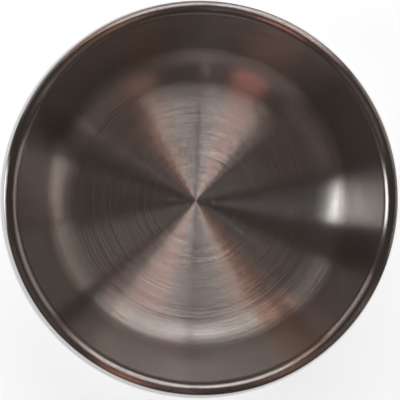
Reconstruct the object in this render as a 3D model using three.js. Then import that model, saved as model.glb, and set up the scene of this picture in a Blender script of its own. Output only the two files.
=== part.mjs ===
// A double-walled steel dog bowl. The brushed inner bowl hangs by its rolled lip on the top edge of a
// barrel-shaped outer shell. A pressed plate closes the shell's underside, and a bonded rubber ring is the
// foot. Millimetres, +Z up, origin on the floor under the bowl's axis.

import * as THREE from "three";

// Inside of the bowl and its rolled lip
const RIM_RADIUS = 101.8; // outside of the rolled lip
const CROWN_RADIUS = 4.75; // round top of the lip
const CROWN_FALL = THREE.MathUtils.degToRad(28); // slope of the crown where its edge starts to tuck under
const EDGE_RADIUS = 1.2; // outside radius of the tight bend that tucks the lip under
const DEPTH = 58; // from the top of the lip down to the bowl's floor
const WALL_LEAN = THREE.MathUtils.degToRad(15.5); // of the inner wall, away from the vertical
const CORNER_RADIUS = 19; // between the bowl's floor and its wall
const LINER_SHEET = 0.8; // steel of the inner bowl

// Outer shell
const BULGE = 2.6; // how far the shell swells past the rim
const BELLY_DROP = 22; // from the top of the lip down to the widest ring
const NECK_RADIUS = 2; // bend between the upright collar and the shoulder
const BASE_INSET = 21; // from the widest ring in to the edge of the flat underside
const HEEL_RADIUS = 8; // bend between the flank and the underside
const FLANGE_WIDTH = 18; // flat underside that is turned inward
const SHELL_SHEET = 0.6; // steel of the shell

// Seal in the lip
const RIM_GAP = 0.3; // clearance between lip, collar and seal
const SEAL_ROOM = 1; // between the lip's underside at its crest and the collar's edge

// Plate over the opening in the underside
const PLATE_SHEET = 0.8;
const PLATE_LAP = 6; // how far the plate lies on the shell's flange
const PLATE_RISE = 2; // step up to the plate's middle
const PLATE_BEND = 0.8; // inside radius of the bends at the head and the foot of the step
const PLATE_SLOPE = THREE.MathUtils.degToRad(45); // of the step
const STEP_INSET = 2; // from the flange's edge in to the step
const AIR_GAP = 6.8; // between the plate's edge and the inner bowl's floor

// Foot ring and its adhesive
const FOOT_THICKNESS = 2.6;
const FOOT_WIDTH = 12;
const FOOT_INSET = 2; // from the edge of the flat underside in to the ring
const FOOT_EDGE = 0.8; // rounding of the ring's lower edges
const ADHESIVE_THICKNESS = 0.4;
const ADHESIVE_INSET = 1; // of the bonded band from the ring's edges

// Fineness of the turned surfaces
const SEGMENTS = 56;
const CHORD_ERROR = 0.12;
const SAME_POINT = 0.001;

// Levels above the shell's underside, which is the body's own zero
const BODY_LEVEL = FOOT_THICKNESS + ADHESIVE_THICKNESS;
const PLATE_LEVEL = SHELL_SHEET;
const BOWL_FLOOR = PLATE_LEVEL + PLATE_SHEET + AIR_GAP + LINER_SHEET;
const RIM_TOP = BOWL_FLOOR + DEPTH;
const COLLAR_TOP = RIM_TOP - LINER_SHEET - SEAL_ROOM;

// Centres of the lip's two bends. The edge bend touches the crown from inside.
const EDGE_SHIFT = CROWN_RADIUS - EDGE_RADIUS;
const CROWN = {
  x: RIM_RADIUS - EDGE_RADIUS - EDGE_SHIFT * Math.sin(CROWN_FALL),
  y: RIM_TOP - CROWN_RADIUS,
};
const EDGE = { x: RIM_RADIUS - EDGE_RADIUS, y: CROWN.y + EDGE_SHIFT * Math.cos(CROWN_FALL) };
const LIP_UNDERSIDE = EDGE.y - EDGE_RADIUS;

// Radii that the pieces share
const COLLAR_RADIUS = CROWN.x + SHELL_SHEET / 2;
const BODY_RADIUS = RIM_RADIUS + BULGE;
const BASE_RADIUS = BODY_RADIUS - BASE_INSET;
const FLANGE_EDGE = BASE_RADIUS - FLANGE_WIDTH;

const steel = { color: 0x9d9792, metalness: 1 };
const brushedSteel = new THREE.MeshStandardMaterial({ ...steel, roughness: 0.4 });
const satinSteel = new THREE.MeshStandardMaterial({ ...steel, roughness: 0.3 });
const blackRubber = new THREE.MeshStandardMaterial({ color: 0x1c1c1d, roughness: 0.8 });
const clearSealant = new THREE.MeshStandardMaterial({ color: 0xc9c9c4, roughness: 0.5 });

// An arc of a profile in the plane of radius and height, counter-clockwise where `to` is greater.
const arc = (centre, radius, from, to) => ({ ...centre, radius, from, to });

// An end of a profile, passed in the direction `heading`.
const end = (x, y, heading) => arc({ x, y }, 0, heading - Math.PI / 2, heading - Math.PI / 2);

// Points along arcs and ends joined by straight runs, all moved by `offset` to the right of travel. Where
// two arcs meet, their shared point is kept once.
function outline(path, offset = 0) {
  const points = [];
  for (const { x, y, radius, from, to } of path) {
    const sweep = to - from;
    const side = sweep < 0 ? -1 : 1;
    const reach = radius + side * offset;
    const step = 2 * Math.acos(1 - CHORD_ERROR / Math.max(radius, reach));
    const count = radius > 0 ? Math.ceil(Math.abs(sweep) / step) : 0;
    for (let i = 0; i <= count; i++) {
      const angle = from + sweep * (count > 0 ? i / count : 0);
      const point = new THREE.Vector2(x + reach * Math.cos(angle), y + reach * Math.sin(angle));
      const repeats = points.length > 0 && points.at(-1).distanceTo(point) < SAME_POINT;
      if (!repeats) points.push(point);
    }
  }
  return points;
}

// A bent sheet with `path` as the face on the left of travel.
function sheet(path, thickness) {
  return [...outline(path, thickness), ...outline(path).reverse()];
}

// Turns a counter-clockwise profile round the Z axis, closing one that stays off the axis.
function turned(name, profile, material) {
  const onAxis = profile[0].x === 0;
  const points = onAxis ? profile : [...profile, profile[0]];
  const geometry = new THREE.LatheGeometry(points, SEGMENTS).rotateX(Math.PI / 2);
  const mesh = new THREE.Mesh(geometry, material);
  mesh.name = name;
  return mesh;
}

// Floor, corner, leaning wall and rolled lip in one sheet. The wall touches both the corner and the crown,
// which sets the floor's radius, and the tucked end of the lip closes on the shell's collar.
function innerBowl() {
  const wallTop = {
    x: CROWN.x - CROWN_RADIUS * Math.cos(WALL_LEAN),
    y: CROWN.y + CROWN_RADIUS * Math.sin(WALL_LEAN),
  };
  const wallFoot = BOWL_FLOOR + CORNER_RADIUS * (1 - Math.sin(WALL_LEAN));
  const wallRun = (wallTop.y - wallFoot) * Math.tan(WALL_LEAN);
  const floorRadius = wallTop.x - wallRun - CORNER_RADIUS * Math.cos(WALL_LEAN);
  const corner = { x: floorRadius, y: BOWL_FLOOR + CORNER_RADIUS };
  const crownEnd = Math.PI / 2 - CROWN_FALL;
  const foodFace = [
    end(0, BOWL_FLOOR, 0),
    arc(corner, CORNER_RADIUS, -Math.PI / 2, -WALL_LEAN),
    arc(CROWN, CROWN_RADIUS, Math.PI - WALL_LEAN, Math.PI / 2),
    arc(CROWN, CROWN_RADIUS, Math.PI / 2, crownEnd),
    arc(EDGE, EDGE_RADIUS, crownEnd, 0),
    arc(EDGE, EDGE_RADIUS, 0, -Math.PI / 2),
    end(COLLAR_RADIUS + RIM_GAP, LIP_UNDERSIDE, Math.PI),
  ];
  return turned("inner_bowl", sheet(foodFace, LINER_SHEET), brushedSteel);
}

// Collar, neck, shoulder, flank, heel and flange in one sheet. The shoulder and the flank meet upright at
// the widest ring, and their radii are those that touch the neck above and the heel below.
function outerShell() {
  const belly = RIM_TOP - BELLY_DROP;
  const neck = { x: COLLAR_RADIUS + NECK_RADIUS, y: LIP_UNDERSIDE - RIM_GAP };
  const swell = BODY_RADIUS - neck.x;
  const rise = neck.y - belly;
  const shoulderRadius = (swell ** 2 + rise ** 2 - NECK_RADIUS ** 2) / (2 * (swell + NECK_RADIUS));
  const shoulder = { x: BODY_RADIUS - shoulderRadius, y: belly };
  const shoulderAngle = Math.atan2(rise, neck.x - shoulder.x);
  const heel = { x: BASE_RADIUS, y: HEEL_RADIUS };
  const drop = belly - heel.y;
  const flankRadius = (BASE_INSET ** 2 + drop ** 2 - HEEL_RADIUS ** 2) / (2 * (BASE_INSET - HEEL_RADIUS));
  const flank = { x: BODY_RADIUS - flankRadius, y: belly };
  const heelAngle = Math.atan2(-drop, heel.x - flank.x);
  const outside = [
    end(COLLAR_RADIUS, COLLAR_TOP, -Math.PI / 2),
    arc(neck, NECK_RADIUS, Math.PI, Math.PI + shoulderAngle),
    arc(shoulder, shoulderRadius, shoulderAngle, 0),
    arc(flank, flankRadius, 0, heelAngle),
    arc(heel, HEEL_RADIUS, heelAngle, -Math.PI / 2),
    end(FLANGE_EDGE, 0, Math.PI),
  ];
  return turned("outer_shell", sheet(outside, SHELL_SHEET), satinSteel);
}

// A bead under the lip's crown, over the collar's edge.
function rimSeal() {
  const beadRadius = CROWN_RADIUS - LINER_SHEET - RIM_GAP;
  const flat = Math.asin((COLLAR_TOP + RIM_GAP - CROWN.y) / beadRadius);
  const bead = [arc(CROWN, beadRadius, flat, Math.PI - flat)];
  return turned("rim_seal", outline(bead), clearSealant);
}

// A disc on the shell's flange, with its middle pressed up by a sloped step.
function basePlate() {
  const top = PLATE_SHEET + PLATE_RISE;
  const headRadius = PLATE_BEND + PLATE_SHEET;
  const bothRadii = headRadius + PLATE_BEND;
  const slopeHeight = PLATE_RISE - bothRadii * (1 - Math.cos(PLATE_SLOPE));
  const slopeRun = slopeHeight / Math.tan(PLATE_SLOPE) + bothRadii * Math.sin(PLATE_SLOPE);
  const foot = { x: FLANGE_EDGE - STEP_INSET, y: PLATE_SHEET + PLATE_BEND };
  const head = { x: foot.x - slopeRun, y: top - headRadius };
  const upperFace = [
    end(0, top, 0),
    arc(head, headRadius, Math.PI / 2, Math.PI / 2 - PLATE_SLOPE),
    arc(foot, PLATE_BEND, -Math.PI / 2 - PLATE_SLOPE, -Math.PI / 2),
    end(FLANGE_EDGE + PLATE_LAP, PLATE_SHEET, 0),
  ];
  return turned("base_plate", sheet(upperFace, PLATE_SHEET), satinSteel);
}

// A flat ring with rounded lower edges, and the band of adhesive that holds it to the shell.
function footPieces() {
  const outer = BASE_RADIUS - FOOT_INSET;
  const inner = outer - FOOT_WIDTH;
  const ring = [
    end(inner, FOOT_THICKNESS, -Math.PI / 2),
    arc({ x: inner + FOOT_EDGE, y: FOOT_EDGE }, FOOT_EDGE, Math.PI, 1.5 * Math.PI),
    arc({ x: outer - FOOT_EDGE, y: FOOT_EDGE }, FOOT_EDGE, -Math.PI / 2, 0),
    end(outer, FOOT_THICKNESS, Math.PI / 2),
  ];
  const band = [
    end(inner + ADHESIVE_INSET, 0, 0),
    end(outer - ADHESIVE_INSET, 0, Math.PI / 2),
    end(outer - ADHESIVE_INSET, ADHESIVE_THICKNESS, Math.PI),
    end(inner + ADHESIVE_INSET, ADHESIVE_THICKNESS, -Math.PI / 2),
  ];
  const footRing = turned("foot_ring", outline(ring), blackRubber);
  const adhesive = turned("foot_adhesive", outline(band), clearSealant);
  adhesive.position.z = FOOT_THICKNESS;
  return [footRing, adhesive];
}

const plate = basePlate();
plate.position.z = PLATE_LEVEL;

const body = new THREE.Group();
body.add(innerBowl(), rimSeal(), outerShell(), plate);
body.position.z = BODY_LEVEL;

const foot = new THREE.Group();
foot.add(...footPieces());

const bowl = new THREE.Group();
bowl.add(body, foot);

export default bowl;
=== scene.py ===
"""Looks of a double-walled steel dog bowl on a pale floor, seen from above.

Metres, +Z up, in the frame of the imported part, whose origin is on the floor under the bowl's axis. Each
visible piece is a profile in the plane of radius and height, turned round the Z axis.
"""

import math

import bpy
import numpy as np
from mathutils import Matrix, Vector


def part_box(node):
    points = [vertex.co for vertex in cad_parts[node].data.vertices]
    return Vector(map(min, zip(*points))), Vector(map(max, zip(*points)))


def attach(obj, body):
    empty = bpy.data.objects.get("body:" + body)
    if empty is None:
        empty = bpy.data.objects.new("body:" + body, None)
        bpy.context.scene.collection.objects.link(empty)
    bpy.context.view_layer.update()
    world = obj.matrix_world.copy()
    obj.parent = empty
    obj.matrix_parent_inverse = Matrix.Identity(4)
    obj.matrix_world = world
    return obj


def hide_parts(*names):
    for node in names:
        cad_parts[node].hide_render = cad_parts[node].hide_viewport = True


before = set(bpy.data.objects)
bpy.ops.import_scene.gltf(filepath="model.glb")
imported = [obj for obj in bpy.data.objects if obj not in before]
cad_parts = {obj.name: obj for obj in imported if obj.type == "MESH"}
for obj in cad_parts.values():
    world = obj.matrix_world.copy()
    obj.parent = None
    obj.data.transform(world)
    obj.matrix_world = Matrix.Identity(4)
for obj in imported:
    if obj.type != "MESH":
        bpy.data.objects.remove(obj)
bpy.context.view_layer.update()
UP = Vector((0, 0, 1))

# Sizes that the frame gives
LINER_LOW, LINER_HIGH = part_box("inner_bowl")
SHELL_LOW, SHELL_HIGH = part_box("outer_shell")
PLATE_LOW, PLATE_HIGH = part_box("base_plate")
FOOT_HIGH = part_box("foot_ring")[1]
RIM_RADIUS = LINER_HIGH.x
RIM_TOP = LINER_HIGH.z
BODY_RADIUS = SHELL_HIGH.x
UNDERSIDE = SHELL_LOW.z
PLATE_RADIUS = PLATE_HIGH.x
PLATE_LEVEL = PLATE_LOW.z
FOOT_RADIUS = FOOT_HIGH.x
FOOT_TOP = FOOT_HIGH.z

# Sheets, bends and gaps of the pressed pieces
LINER_SHEET = 0.0008
SHELL_SHEET = 0.0006
PLATE_SHEET = 0.0008
CROWN_RADIUS = 0.00475
CROWN_FALL = math.radians(28)
EDGE_RADIUS = 0.0012
CORNER_RADIUS = 0.019
WALL_LEAN = math.radians(15.5)
RIM_GAP = 0.0003
SEAL_ROOM = 0.001
NECK_RADIUS = 0.002
BELLY_DROP = 0.022
BASE_INSET = 0.021
HEEL_RADIUS = 0.008
FLANGE_WIDTH = 0.018
PLATE_BEND = 0.0008
PLATE_SLOPE = math.radians(45)
STEP_INSET = 0.002
FOOT_WIDTH = 0.012
FOOT_EDGE = 0.0008

# Levels and radii that follow from them
BOWL_FLOOR = LINER_LOW.z + LINER_SHEET
EDGE_SHIFT = CROWN_RADIUS - EDGE_RADIUS
CROWN = (RIM_RADIUS - EDGE_RADIUS - EDGE_SHIFT * math.sin(CROWN_FALL), RIM_TOP - CROWN_RADIUS)
EDGE = (RIM_RADIUS - EDGE_RADIUS, CROWN[1] + EDGE_SHIFT * math.cos(CROWN_FALL))
LIP_UNDERSIDE = EDGE[1] - EDGE_RADIUS
COLLAR_RADIUS = CROWN[0] + SHELL_SHEET / 2
COLLAR_TOP = RIM_TOP - LINER_SHEET - SEAL_ROOM
BASE_RADIUS = BODY_RADIUS - BASE_INSET
FLANGE_EDGE = BASE_RADIUS - FLANGE_WIDTH
QUARTER = math.pi / 2
WALL_TOP = CROWN[1] + CROWN_RADIUS * math.sin(WALL_LEAN)
WALL_FOOT = BOWL_FLOOR + CORNER_RADIUS * (1 - math.sin(WALL_LEAN))
WALL_RUN = (WALL_TOP - WALL_FOOT) * math.tan(WALL_LEAN)
MOUTH_RADIUS = CROWN[0] - CROWN_RADIUS * math.cos(WALL_LEAN)
FLOOR_RADIUS = MOUTH_RADIUS - WALL_RUN - CORNER_RADIUS * math.cos(WALL_LEAN)

# Marks that brushing leaves. Widths are across the marks, and sway is how soon one changes on its way
# round.
GROOVE_WIDTH = 0.00002
GROOVE_SWAY = 1.0
LINE_WIDTH = 0.001
LINE_SWAY = 0.0
LINE_DETAIL = 1.0
ARC_WIDTH = 0.0025
ARC_SWAY = 1.6
ARC_FAINT = 0.3
ARC_RANGE = (0.38, 0.62)
TONE_RANGE = (-0.1, 0.1)
QUARTER_TURN = 0.25

# Height over the bowl's floor by which its deeper grooves have become those of the corner
GROOVE_FADE = 0.0015

# Noise: its middle, the range that most of it keeps to, and how strong its finer layers are
NOISE_MIDDLE = 0.5
NOISE_RANGE = (0.3, 0.7)
NOISE_ROUGHNESS = 0.6
ONE_LAYER = 0.0

# Grain of the moulded finishes
SPECK_DETAIL = 3.0
GRAIN_STRENGTH = 0.6
CLOUD_WIDTH = 0.025
CLOUD_DETAIL = 2.0

# Fineness of the turned surfaces
TURNS = 288
BEND_POINTS = 25
CROWN_POINTS = 45
RUN_POINTS = 13
ON_AXIS = 1e-9
SHARP_EDGE = math.radians(40)


def bend(centre, radius, start, stop, count=BEND_POINTS):
    """Arc of a profile: centre + radius * (cos a, sin a) for even angles a from start to stop."""
    angles = np.linspace(start, stop, count)
    return np.column_stack([centre[0] + radius * np.cos(angles), centre[1] + radius * np.sin(angles)])


def run(start, stop, count=RUN_POINTS):
    """Straight stretch of a profile: start * (1 - s) + stop * s for even shares s from 0 to 1."""
    share = np.linspace(0, 1, count)[:, None]
    return np.asarray(start) * (1 - share) + np.asarray(stop) * share


def joined(*stretches):
    """One profile from stretches that meet end to end, each shared point kept once."""
    return np.concatenate([*(stretch[:-1] for stretch in stretches[:-1]), stretches[-1]])


def turned(name, profile, finishes, finish_of_step=None):
    """Surface (r cos t, r sin t, z) for each profile point (r, z) and each of TURNS even angles t.

    The profile runs with the solid on its left. One that starts on the axis also ends there, and its two
    ends become single points, each with a fan of triangles. Any other is closed on itself.
    """
    has_poles = profile[0, 0] < ON_AXIS
    rings = profile[1:-1] if has_poles else profile
    angles = np.arange(TURNS) * 2 * math.pi / TURNS
    points = np.empty((len(rings), TURNS, 3))
    points[..., 0] = rings[:, :1] * np.cos(angles)
    points[..., 1] = rings[:, :1] * np.sin(angles)
    points[..., 2] = rings[:, 1:]
    here = np.arange(points.size // 3).reshape(len(rings), TURNS)
    if not has_poles:
        here = np.concatenate([here, here[:1]])
    beside = np.roll(here, -1, axis=1)
    quads = np.stack([here[:-1], beside[:-1], beside[1:], here[1:]], axis=-1)
    faces = quads.reshape(-1, 4).tolist()
    steps = np.repeat(np.arange(len(quads)) + has_poles, TURNS)
    points = points.reshape(-1, 3)
    if has_poles:
        low = np.full(TURNS, len(points))
        high = low + 1
        points = np.concatenate([points, [[0, 0, profile[0, 1]], [0, 0, profile[-1, 1]]]])
        faces += np.stack([low, beside[0], here[0]], axis=-1).tolist()
        faces += np.stack([here[-1], beside[-1], high], axis=-1).tolist()
        steps = np.concatenate([steps, np.zeros(TURNS, int), np.full(TURNS, len(profile) - 2)])
    mesh = bpy.data.meshes.new(name)
    mesh.from_pydata(points.tolist(), [], faces)
    mesh.polygons.foreach_set("use_smooth", np.ones(len(faces), bool))
    for finish in finishes:
        mesh.materials.append(finish)
    if finish_of_step is not None:
        mesh.polygons.foreach_set("material_index", np.asarray(finish_of_step)[steps])
    mesh.set_sharp_from_angle(angle=SHARP_EDGE)
    piece = bpy.data.objects.new(name, mesh)
    bpy.context.scene.collection.objects.link(piece)
    return piece


def stands_for(piece, node):
    """The piece takes the place of a solid, which it hides, and moves with the bowl."""
    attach(piece, "root")
    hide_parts(node)


def node(tree, kind, inputs=None, **settings):
    """Adds a shader node. An input value that is another node's output is linked."""
    made = tree.nodes.new(kind)
    for key, value in settings.items():
        setattr(made, key, value)
    for key, value in (inputs or {}).items():
        if isinstance(value, bpy.types.NodeSocket):
            tree.links.new(value, made.inputs[key])
        else:
            made.inputs[key].default_value = value
    return made


def math_node(tree, operation, *values):
    """The result of a Math node."""
    return node(tree, "ShaderNodeMath", dict(enumerate(values)), operation=operation).outputs[0]


def vector_node(tree, operation, *values):
    """The vector that a Vector Math node gives."""
    return node(tree, "ShaderNodeVectorMath", dict(enumerate(values)), operation=operation).outputs[0]


def new_material(name):
    """An empty material with its output node, and the tree that they are in."""
    material = bpy.data.materials.new(name)
    material.use_nodes = True
    tree = material.node_tree
    tree.nodes.clear()
    return material, tree, tree.nodes.new("ShaderNodeOutputMaterial")


def ring_places(tree, height_share):
    """Where a surface point lies on a turned piece: the direction out from the axis, the way round it,
    the distance along the profile, taken as radius + height_share * height, and the height."""
    place = node(tree, "ShaderNodeTexCoord").outputs["Object"]
    flat = vector_node(tree, "MULTIPLY", place, (1, 1, 0))
    radius = node(tree, "ShaderNodeVectorMath", {0: flat}, operation="LENGTH").outputs["Value"]
    height = node(tree, "ShaderNodeSeparateXYZ", {0: place}).outputs["Z"]
    outward = vector_node(tree, "NORMALIZE", flat)
    around = vector_node(tree, "CROSS_PRODUCT", (0, 0, 1), place)
    climb = math_node(tree, "MULTIPLY", height, height_share)
    along = math_node(tree, "ADD", radius, climb)
    return outward, around, along, height


def ring_noise(tree, outward, along, width, sway, detail):
    """Noise drawn out into rings, read at (sway * outward, along / width): one change for each `width`
    metres along the profile, and a sway for how soon a ring changes on its way round."""
    level = math_node(tree, "DIVIDE", along, width)
    lift = node(tree, "ShaderNodeCombineXYZ", {"Z": level}).outputs[0]
    round_place = vector_node(tree, "MULTIPLY", outward, (sway, sway, 0))
    spot = vector_node(tree, "ADD", round_place, lift)
    inputs = {"Vector": spot, "Scale": 1.0, "Detail": detail, "Roughness": NOISE_ROUGHNESS}
    return node(tree, "ShaderNodeTexNoise", inputs).outputs["Fac"]


def ramp(tree, value, low, high, source=NOISE_RANGE):
    """The value stretched from its source range to low and high, and held at the ends."""
    from_low, from_high = source
    inputs = {"Value": value, "From Min": from_low, "From Max": from_high, "To Min": low, "To Max": high}
    return node(tree, "ShaderNodeMapRange", inputs).outputs["Result"]


def tint(tree, share, dark, light):
    """A colour between two, by share. Sockets 0, 6, 7 and 2 are the ones that a mix of colours uses."""
    mix = node(tree, "ShaderNodeMix", {0: share, 6: (*dark, 1), 7: (*light, 1)}, data_type="RGBA")
    return mix.outputs[2]


def groove_normal(tree, outward, around, along, height, lean):
    """The surface's normal tipped to and fro across the rings, as on the flanks of grooves much finer
    than a hair: normal + lean * noise * across, made one long, with noise about -0.35 to 0.35. Lean is
    a pair: the value on the bowl's floor and the value from a little way up its corner."""
    normal = node(tree, "ShaderNodeNewGeometry").outputs["Normal"]
    across = vector_node(tree, "CROSS_PRODUCT", vector_node(tree, "NORMALIZE", around), normal)
    flank = ring_noise(tree, outward, along, GROOVE_WIDTH, GROOVE_SWAY, ONE_LAYER)
    depth = ramp(tree, height, *lean, (BOWL_FLOOR, BOWL_FLOOR + GROOVE_FADE))
    tip = math_node(tree, "MULTIPLY", math_node(tree, "SUBTRACT", flank, NOISE_MIDDLE), depth)
    tipped = node(tree, "ShaderNodeVectorMath", {0: across, "Scale": tip}, operation="SCALE").outputs[0]
    return vector_node(tree, "NORMALIZE", vector_node(tree, "ADD", normal, tipped))


def ring_brushed_steel(name, dark, light, roughness, spread, lean, line_depth, height_share=1.0):
    """Steel brushed in rings. The grooves draw its sheen out from the axis and leave it sharp on the
    way round. Lines that are each part of a ring vary its tone from dark to light, and stand out a
    little."""
    material, tree, output = new_material(name)
    outward, around, along, height = ring_places(tree, height_share)
    lines = ring_noise(tree, outward, along, LINE_WIDTH, LINE_SWAY, LINE_DETAIL)
    arcs = ring_noise(tree, outward, along, ARC_WIDTH, ARC_SWAY, ONE_LAYER)
    reach = ramp(tree, arcs, ARC_FAINT, 1, ARC_RANGE)
    wave = math_node(tree, "MULTIPLY", math_node(tree, "SUBTRACT", lines, NOISE_MIDDLE), reach)
    bump = node(tree, "ShaderNodeBump", {"Height": lines, "Strength": 1.0, "Distance": line_depth})
    tree.links.new(groove_normal(tree, outward, around, along, height, lean), bump.inputs["Normal"])
    inputs = {
        "Base Color": tint(tree, ramp(tree, wave, 0, 1, TONE_RANGE), dark, light),
        "Metallic": 1.0,
        "Roughness": ramp(tree, lines, *roughness),
        "Anisotropic": spread,
        "Anisotropic Rotation": QUARTER_TURN,
        "Tangent": around,
        "Normal": bump.outputs[0],
    }
    shader = node(tree, "ShaderNodeBsdfPrincipled", inputs)
    tree.links.new(shader.outputs[0], output.inputs["Surface"])
    return material


def moulded(name, dark, light, roughness, grain, depth):
    """A matt moulded or cured material with a fine even grain and a cloudy tone."""
    material, tree, output = new_material(name)
    place = node(tree, "ShaderNodeTexCoord").outputs["Object"]
    fine = {"Vector": place, "Scale": 1 / grain, "Detail": SPECK_DETAIL}
    speck = node(tree, "ShaderNodeTexNoise", fine).outputs["Fac"]
    broad = {"Vector": place, "Scale": 1 / CLOUD_WIDTH, "Detail": CLOUD_DETAIL}
    cloud = node(tree, "ShaderNodeTexNoise", broad).outputs["Fac"]
    bump = node(tree, "ShaderNodeBump", {"Height": speck, "Strength": GRAIN_STRENGTH, "Distance": depth})
    inputs = {
        "Base Color": tint(tree, ramp(tree, cloud, 0, 1), dark, light),
        "Roughness": ramp(tree, speck, *roughness),
        "Normal": bump.outputs[0],
    }
    shader = node(tree, "ShaderNodeBsdfPrincipled", inputs)
    tree.links.new(shader.outputs[0], output.inputs["Surface"])
    return material


def inner_bowl():
    """Floor, corner, leaning wall and rolled lip of one sheet. The lip has a broad crown and a tight
    edge, and its tucked end closes on the shell's collar."""
    corner_centre = (FLOOR_RADIUS, BOWL_FLOOR + CORNER_RADIUS)
    crown_end = QUARTER - CROWN_FALL

    def face(depth):
        """The food face moved `depth` into the sheet, as (brushed stretch, lip)."""
        floor = run((0, BOWL_FLOOR - depth), (FLOOR_RADIUS, BOWL_FLOOR - depth))
        corner = bend(corner_centre, CORNER_RADIUS + depth, -QUARTER, -WALL_LEAN)
        crown = bend(CROWN, CROWN_RADIUS - depth, math.pi - WALL_LEAN, crown_end, CROWN_POINTS)
        edge = bend(EDGE, EDGE_RADIUS - depth, crown_end, -QUARTER)
        tuck = run(edge[-1], (COLLAR_RADIUS + RIM_GAP, LIP_UNDERSIDE + depth))
        wall = run(corner[-1], crown[0])
        return joined(floor, corner, wall), joined(crown, edge, tuck)

    brushed, lip = face(0)
    back = joined(*face(LINER_SHEET))
    profile = np.concatenate([back, joined(brushed, lip)[::-1]])
    inside = ring_brushed_steel(
        "ring_brushed_inside",
        dark=(0.452, 0.430, 0.412),
        light=(0.568, 0.541, 0.519),
        roughness=(0.19, 0.23),
        spread=1.0,
        lean=(2.0, 1.4),
        line_depth=0.000006,
        height_share=0.3,
    )
    # The lip is the same steel as the inside but gets a darker colour: painted shade, which dims the
    # lip's reflection of the small bright window.
    rim = ring_brushed_steel(
        "polished_rim_painted_dark",
        dark=(0.37, 0.353, 0.338),
        light=(0.42, 0.40, 0.384),
        roughness=(0.15, 0.19),
        spread=0.6,
        lean=(0.8, 0.8),
        line_depth=0.000002,
    )
    back_steel = ring_brushed_steel(
        "liner_back",
        dark=(0.5, 0.49, 0.48),
        light=(0.58, 0.57, 0.56),
        roughness=(0.35, 0.45),
        spread=0.3,
        lean=(0.5, 0.5),
        line_depth=0.000006,
    )
    finishes = [inside, rim, back_steel]
    inside_place, rim_place, back_place = range(len(finishes))
    back_steps = np.full(len(back), back_place)
    rim_steps = np.full(len(lip) - 1, rim_place)
    inside_steps = np.full(len(brushed) - 1, inside_place)
    finish_of_step = np.concatenate([back_steps, rim_steps, inside_steps])
    piece = turned("bowl_liner", profile, finishes, finish_of_step)
    stands_for(piece, "inner_bowl")


def outer_shell():
    """Collar, neck, shoulder, flank, heel and flange of one sheet. Shoulder and flank meet upright at
    the widest ring, and their radii are those that touch the neck above and the heel below."""
    belly = RIM_TOP - BELLY_DROP
    neck = (COLLAR_RADIUS + NECK_RADIUS, LIP_UNDERSIDE - RIM_GAP)
    swell = BODY_RADIUS - neck[0]
    rise = neck[1] - belly
    shoulder_radius = (swell**2 + rise**2 - NECK_RADIUS**2) / (2 * (swell + NECK_RADIUS))
    shoulder = (BODY_RADIUS - shoulder_radius, belly)
    shoulder_angle = math.atan2(rise, neck[0] - shoulder[0])
    heel = (BASE_RADIUS, UNDERSIDE + HEEL_RADIUS)
    drop = belly - heel[1]
    flank_radius = (BASE_INSET**2 + drop**2 - HEEL_RADIUS**2) / (2 * (BASE_INSET - HEEL_RADIUS))
    flank = (BODY_RADIUS - flank_radius, belly)
    heel_angle = math.atan2(-drop, heel[0] - flank[0])

    def face(depth):
        """The outside moved `depth` into the sheet, from the collar's edge down to the flange's edge."""
        neck_bend = bend(neck, NECK_RADIUS + depth, math.pi, math.pi + shoulder_angle)
        shoulder_bend = bend(shoulder, shoulder_radius - depth, shoulder_angle, 0)
        flank_bend = bend(flank, flank_radius - depth, 0, heel_angle)
        heel_bend = bend(heel, HEEL_RADIUS - depth, heel_angle, -QUARTER)
        collar = run((COLLAR_RADIUS - depth, COLLAR_TOP), neck_bend[0])
        flange = run(heel_bend[-1], (FLANGE_EDGE, UNDERSIDE + depth))
        return joined(collar, neck_bend, shoulder_bend, flank_bend, heel_bend, flange)

    profile = np.concatenate([face(SHELL_SHEET), face(0)[::-1]])
    satin = ring_brushed_steel(
        "satin_shell",
        dark=(0.58, 0.57, 0.56),
        light=(0.65, 0.64, 0.63),
        roughness=(0.24, 0.29),
        spread=0.6,
        lean=(0.8, 0.8),
        line_depth=0.000005,
    )
    piece = turned("barrel_shell", profile, [satin])
    stands_for(piece, "outer_shell")


def base_plate():
    """Disc on the shell's flange, its middle pressed up by a sloped step."""
    top = PLATE_HIGH.z
    rim_top = PLATE_LEVEL + PLATE_SHEET
    head_radius = PLATE_BEND + PLATE_SHEET
    both_radii = head_radius + PLATE_BEND
    slope_height = top - rim_top - both_radii * (1 - math.cos(PLATE_SLOPE))
    slope_run = slope_height / math.tan(PLATE_SLOPE) + both_radii * math.sin(PLATE_SLOPE)
    foot = (FLANGE_EDGE - STEP_INSET, rim_top + PLATE_BEND)
    head = (foot[0] - slope_run, top - head_radius)

    def face(depth):
        """The upper face moved `depth` into the sheet, from the axis out to the edge."""
        head_bend = bend(head, head_radius - depth, QUARTER, QUARTER - PLATE_SLOPE)
        foot_bend = bend(foot, PLATE_BEND + depth, -QUARTER - PLATE_SLOPE, -QUARTER)
        middle = run((0, top - depth), head_bend[0])
        slope = run(head_bend[-1], foot_bend[0])
        edge = run(foot_bend[-1], (PLATE_RADIUS, rim_top - depth))
        return joined(middle, head_bend, slope, foot_bend, edge)

    profile = np.concatenate([face(PLATE_SHEET), face(0)[::-1]])
    mill = ring_brushed_steel(
        "mill_plate",
        dark=(0.5, 0.49, 0.48),
        light=(0.6, 0.59, 0.58),
        roughness=(0.3, 0.4),
        spread=0.3,
        lean=(0.5, 0.5),
        line_depth=0.000006,
    )
    piece = turned("closing_plate", profile, [mill])
    stands_for(piece, "base_plate")


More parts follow.
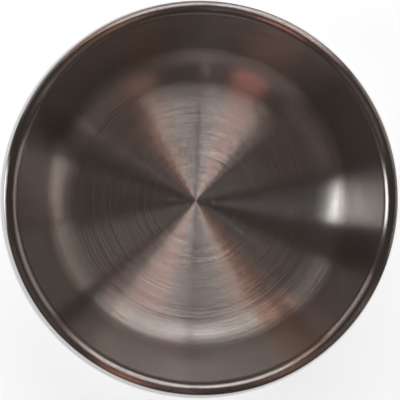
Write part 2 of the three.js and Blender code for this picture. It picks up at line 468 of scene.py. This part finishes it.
def foot_ring():
    """Flat ring with rounded lower edges."""
    inner = FOOT_RADIUS - FOOT_WIDTH
    inner_edge = bend((inner + FOOT_EDGE, FOOT_EDGE), FOOT_EDGE, math.pi, 3 * QUARTER)
    outer_edge = bend((FOOT_RADIUS - FOOT_EDGE, FOOT_EDGE), FOOT_EDGE, -QUARTER, 0)
    inner_side = run((inner, FOOT_TOP), inner_edge[0])
    underside = run(inner_edge[-1], outer_edge[0])
    outer_side = run(outer_edge[-1], (FOOT_RADIUS, FOOT_TOP))
    profile = joined(inner_side, inner_edge, underside, outer_edge, outer_side)
    rubber = moulded(
        "foot_rubber",
        dark=(0.018, 0.018, 0.019),
        light=(0.03, 0.03, 0.031),
        roughness=(0.62, 0.8),
        grain=0.0006,
        depth=0.00005,
    )
    piece = turned("foot_tread", profile, [rubber])
    stands_for(piece, "foot_ring")


def hidden_pieces():
    """The seal in the roll and the adhesive over the foot keep their solids and get their own finish."""
    sealant = moulded(
        "clear_sealant",
        dark=(0.5, 0.5, 0.47),
        light=(0.6, 0.6, 0.57),
        roughness=(0.4, 0.55),
        grain=0.001,
        depth=0.00003,
    )
    film = moulded(
        "adhesive_film",
        dark=(0.45, 0.45, 0.43),
        light=(0.55, 0.55, 0.53),
        roughness=(0.5, 0.65),
        grain=0.001,
        depth=0.00003,
    )
    for name, finish in (("rim_seal", sealant), ("foot_adhesive", film)):
        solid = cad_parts[name]
        solid.data.materials.clear()
        solid.data.materials.append(finish)


# Ground: white paper with a glow of its own. The paper is cool, because the lamps are warm.
FLOOR_HALF = 6.0
FLOOR_PAPER = (0.78, 0.87, 0.92, 1)
FLOOR_GLOW = 0.69


def pale_floor():
    """A wide flat square at the foot's level: the corners (+-half, +-half, 0). Its glow is added to what
    its paper sends back, so the bowl's shadow stays. It is clear from below, to show the underside."""
    corners = np.array([(-1, -1, 0), (1, -1, 0), (1, 1, 0), (-1, 1, 0)]) * FLOOR_HALF
    mesh = bpy.data.meshes.new("pale_floor")
    mesh.from_pydata(corners.tolist(), [], [(0, 1, 2, 3)])
    material, tree, output = new_material("floor_white")
    paper = node(tree, "ShaderNodeBsdfDiffuse", {"Color": FLOOR_PAPER})
    ray = node(tree, "ShaderNodeLightPath").outputs
    seen = math_node(tree, "MAXIMUM", ray["Is Camera Ray"], ray["Is Glossy Ray"])
    seen = math_node(tree, "MAXIMUM", seen, ray["Is Transmission Ray"])
    strength = math_node(tree, "MULTIPLY", seen, FLOOR_GLOW)
    glow = node(tree, "ShaderNodeEmission", {"Color": (1, 1, 1, 1), "Strength": strength})
    top = node(tree, "ShaderNodeAddShader", {0: paper.outputs[0], 1: glow.outputs[0]})
    below = node(tree, "ShaderNodeNewGeometry").outputs["Backfacing"]
    clear = node(tree, "ShaderNodeBsdfTransparent")
    both = node(tree, "ShaderNodeMixShader", {0: below, 1: top.outputs[0], 2: clear.outputs[0]})
    tree.links.new(both.outputs[0], output.inputs["Surface"])
    mesh.materials.append(material)
    floor = bpy.data.objects.new("pale_floor", mesh)
    bpy.context.scene.collection.objects.link(floor)


# Light: soft boxes round the bowl, as windows and pale things in a room
BOX_DISTANCE = 1.2


def hang_lamp(name, place, outward, width, height, brightness, colour):
    """A square-cornered lamp at a place, facing against `outward` and out of the camera's sight. Its
    power is brightness * pi * width * height, so brightness 1 is white."""
    lamp = bpy.data.lights.new(name, "AREA")
    lamp.shape = "RECTANGLE"
    lamp.size = width
    lamp.size_y = height
    lamp.energy = brightness * math.pi * width * height
    lamp.color = colour
    holder = bpy.data.objects.new(name, lamp)
    holder.location = place
    holder.rotation_euler = (-outward).to_track_quat("-Z", "Y").to_euler()
    holder.visible_camera = False
    bpy.context.scene.collection.objects.link(holder)


def soft_box(name, azimuths, elevations, brightness, colour=(1, 1, 1)):
    """An upright lamp that faces the axis, with its sides and its lower and upper edge given as angles
    seen from the bowl, in degrees."""
    right, left = (math.radians(angle) for angle in azimuths)
    low, high = (BOX_DISTANCE * math.tan(math.radians(angle)) for angle in elevations)
    azimuth = (left + right) / 2
    outward = Vector((math.cos(azimuth), math.sin(azimuth), 0))
    place = outward * BOX_DISTANCE + UP * (BOWL_FLOOR + (low + high) / 2)
    width = 2 * BOX_DISTANCE * math.tan((left - right) / 2)
    hang_lamp(name, place, outward, width, high - low, brightness, colour)


def high_box(name, azimuths, elevations, brightness, colour=(1, 1, 1)):
    """A lamp overhead that faces the bowl's floor, with the same angles as a soft box gives."""
    right, left = (math.radians(angle) for angle in azimuths)
    low, high = (math.radians(angle) for angle in elevations)
    azimuth = (left + right) / 2
    elevation = (low + high) / 2
    level = Vector((math.cos(azimuth), math.sin(azimuth), 0)) * math.cos(elevation)
    outward = level + UP * math.sin(elevation)
    place = outward * BOX_DISTANCE + UP * BOWL_FLOOR
    width = 2 * BOX_DISTANCE * math.tan((left - right) / 2) * math.cos(elevation)
    height = 2 * BOX_DISTANCE * math.tan((high - low) / 2)
    hang_lamp(name, place, outward, width, height, brightness, colour)


# Room: its tones, and the height of a direction from which it has the upper one
HORIZON_TONE = (0.5, 0.5, 0.5)
UPPER_TONE = (0.071, 0.062, 0.056)
UPPER_START = 0.1


def room():
    """A dim warm room over the bowl, pale near the horizon."""
    world = bpy.data.worlds.new("room")
    world.use_nodes = True
    tree = world.node_tree
    tree.nodes.clear()
    way = node(tree, "ShaderNodeTexCoord").outputs["Generated"]
    height = node(tree, "ShaderNodeSeparateXYZ", {0: way}).outputs["Z"]
    share = ramp(tree, height, 0, 1, (0, UPPER_START))
    tone = tint(tree, share, HORIZON_TONE, UPPER_TONE)
    back = node(tree, "ShaderNodeBackground", {"Color": tone, "Strength": 1.0})
    output = tree.nodes.new("ShaderNodeOutputWorld")
    tree.links.new(back.outputs[0], output.inputs["Surface"])
    bpy.context.scene.world = world


def lights():
    """A window of two panes on the +Y side, each brighter above, a curtain beside it, a small bright
    window with a sloped head on the -X side, and pale and warm things round the room."""
    soft_box("window_right_end", (56, 69), (52, 62), 3.6, (1, 0.98, 0.92))
    soft_box("window_right_upper", (69, 81.5), (52, 62), 3.8, (1, 1, 0.97))
    soft_box("window_right_lower", (56, 81.5), (36, 52), 1.05, (1, 0.85, 0.90))
    soft_box("window_left_upper", (83.1, 97), (52, 62), 3.8, (1, 0.92, 0.90))
    soft_box("window_left_end", (97, 111.5), (52, 62), 3.5, (1, 0.88, 0.80))
    soft_box("window_left_lower", (83.1, 111.5), (36, 52), 0.9, (0.95, 0.93, 1))
    soft_box("curtain_upper", (50, 56), (50, 62), 4.4, (1, 0.83, 0.75))
    soft_box("curtain_edge", (43, 50), (50, 62), 1.5, (1, 0.74, 0.71))
    soft_box("curtain_lower", (43, 56), (14, 50), 0.22)
    soft_box("side_window_near", (168.5, 172), (13, 42), 3.1)
    soft_box("side_window_middle", (172, 177), (13, 38), 4.4)
    soft_box("side_window_far", (177, 181.5), (13, 33), 5.0)
    soft_box("side_window_end", (181.5, 184.5), (13, 29), 5.2)
    soft_box("side_window_tip", (184.5, 187.5), (13, 24), 4.5)
    soft_box("pale_wall_right_low", (11, 38), (12, 26), 0.75, (1, 0.70, 0.68))
    soft_box("pale_wall_right", (11, 38), (26, 48), 0.5, (1, 0.97, 0.86))
    soft_box("pale_door_right", (-14, 10), (22, 32), 1.4, (1, 0.78, 0.72))
    soft_box("pale_wall_left_low", (128, 152), (10, 24), 1.5, (1, 0.84, 0.85))
    soft_box("pale_wall_left", (128, 152), (24, 45), 0.22)
    soft_box("brown_beam", (111.5, 120), (40, 55), 1.9, (1, 0.61, 0.49))
    soft_box("brown_shelf", (118, 130), (34, 52), 0.9, (1, 0.56, 0.42))
    soft_box("red_shade", (242, 258), (54, 70), 1.5, (1, 0.38, 0.30))
    soft_box("warm_shade", (299, 313), (63, 76), 1.1, (1, 0.55, 0.42))
    soft_box("dim_wall_front_left", (192, 228), (58, 72), 0.29, (1, 0.70, 0.69))
    soft_box("dim_wall_front_right", (314, 340), (58, 72), 0.38, (1, 0.70, 0.65))
    soft_box("pale_strip_front", (270.4, 271.2), (45, 68), 1.2)
    soft_box("pale_strip_right", (330.5, 331.1), (40, 58), 2.0)
    high_box("warm_ceiling", (252, 284), (71, 84), 0.3, (1, 0.50, 0.48))


# Camera: a long lens nearly over the bowl, a little towards -X and -Y of its axis
CAMERA_HEIGHT = 1.0
CAMERA_STEP = (-0.0573, -0.0327)
AIM = (-0.0010, -0.0013)
LENS = 175.4
SENSOR_WIDTH = 36


def camera():
    """The camera, turned so that +Y is up in its picture: right = Y x back and up = back x right."""
    data = bpy.data.cameras.new("camera")
    data.lens = LENS
    data.sensor_width = SENSOR_WIDTH
    holder = bpy.data.objects.new("camera", data)
    holder.location = (*CAMERA_STEP, RIM_TOP + CAMERA_HEIGHT)
    back = (holder.location - Vector((*AIM, RIM_TOP))).normalized()
    right = Vector((0, 1, 0)).cross(back).normalized()
    holder.rotation_euler = Matrix((right, back.cross(right), back)).transposed().to_euler()
    bpy.context.scene.collection.objects.link(holder)
    bpy.context.scene.camera = holder


camera()
inner_bowl()
outer_shell()
base_plate()
foot_ring()
hidden_pieces()
pale_floor()
lights()
room()
bpy.context.scene.view_settings.view_transform = "Standard"
